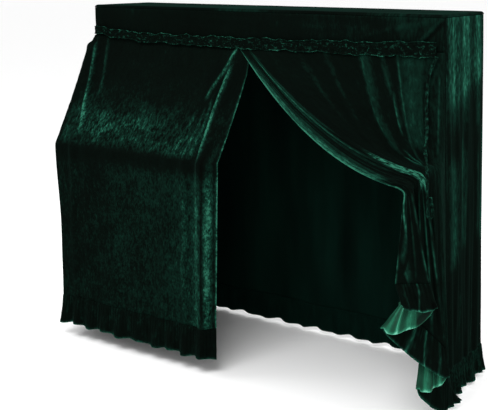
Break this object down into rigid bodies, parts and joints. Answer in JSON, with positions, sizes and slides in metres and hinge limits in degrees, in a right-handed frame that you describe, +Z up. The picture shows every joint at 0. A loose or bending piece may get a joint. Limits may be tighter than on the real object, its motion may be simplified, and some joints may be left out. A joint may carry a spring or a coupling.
{
  "type": "upright piano cover",
  "caption": "Full-length fitted velvet cover for an upright piano, with a ruched trim, gathered hem flounces and a front curtain swagged aside to open the keyboard.",
  "frame": {"origin": "middle of the top panel's underside, where the cover bears on the piano's lid", "axes": "+Z up; +X along the piano towards the right hand of a player facing it; +Y from the front towards the wall"},
  "size_m": [1.7244, 0.7007, 1.3134],
  "materials": {
    "top_panel": "crushed velvet, deep green",
    "front_band": "crushed velvet, deep green",
    "ruched_trim": "crushed velvet, deep green",
    "left_curtain": "crushed velvet, deep green",
    "right_curtain": "crushed velvet, deep green",
    "tie_strap": "crushed velvet, deep green",
    "side_panel_right": "crushed velvet, deep green",
    "side_panel_left": "crushed velvet, deep green",
    "back_panel": "crushed velvet, deep green",
    "flounce_left_curtain": "crushed velvet, deep green",
    "flounce_right_curtain": "crushed velvet, deep green",
    "flounce_side_right": "crushed velvet, deep green",
    "flounce_side_left": "crushed velvet, deep green",
    "flounce_back": "crushed velvet, deep green"
  },
  "bodies": {
    "root": {"top_panel": "top_panel", "front_band": "front_band", "ruched_trim": "ruched_trim", "left_curtain": "left_curtain", "right_curtain": "right_curtain", "tie_strap": "tie_strap", "side_panel_right": "side_panel_right", "side_panel_left": "side_panel_left", "back_panel": "back_panel", "flounce_left_curtain": "flounce_left_curtain", "flounce_right_curtain": "flounce_right_curtain", "flounce_side_right": "flounce_side_right", "flounce_side_left": "flounce_side_left", "flounce_back": "flounce_back"}
  },
  "joints": []
}
